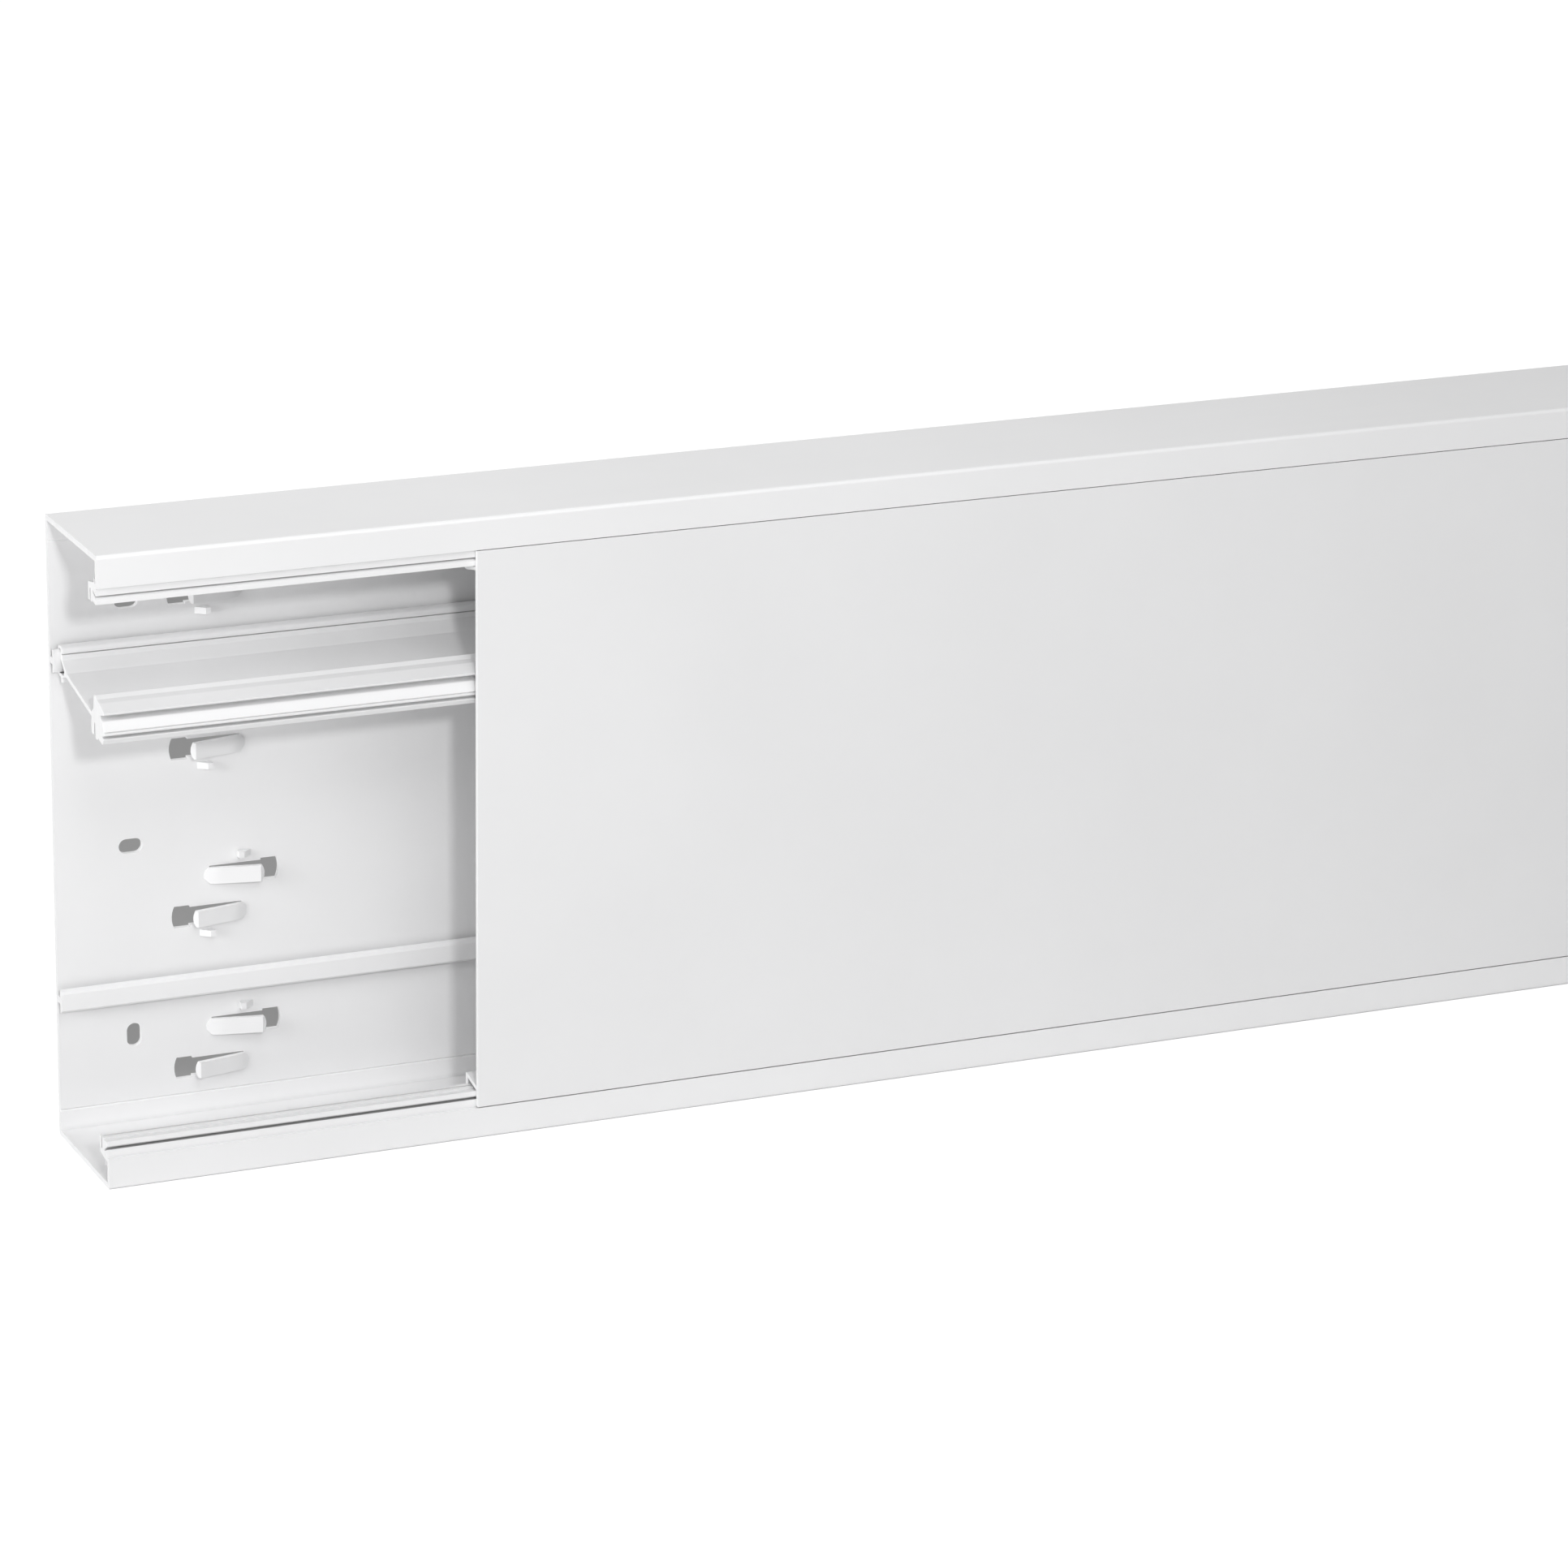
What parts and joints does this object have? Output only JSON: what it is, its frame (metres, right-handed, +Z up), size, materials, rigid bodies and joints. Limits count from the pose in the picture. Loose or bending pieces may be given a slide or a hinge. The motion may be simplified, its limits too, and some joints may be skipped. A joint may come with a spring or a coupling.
{
  "type": "cable trunking",
  "caption": "Wall cable trunking length with a C-shaped slotted base, a clip-on partition and a flat clip-on cover that leaves one end open.",
  "frame": {"origin": "middle of the length and depth, at the underside of the bottom wall", "axes": "+X along the stock away from the open end, -Y out of the open front, +Z up"},
  "size_m": [2, 0.05, 0.195],
  "materials": {
    "base_pvc": "satin white extruded PVC with faint lengthwise die lines",
    "partition_pvc": "satin white extruded PVC with faint lengthwise die lines",
    "cover_pvc": "smooth satin white extruded PVC"
  },
  "bodies": {
    "root": {"trunking_base": "base_pvc", "partition": "partition_pvc", "cover": "cover_pvc"}
  },
  "joints": []
}
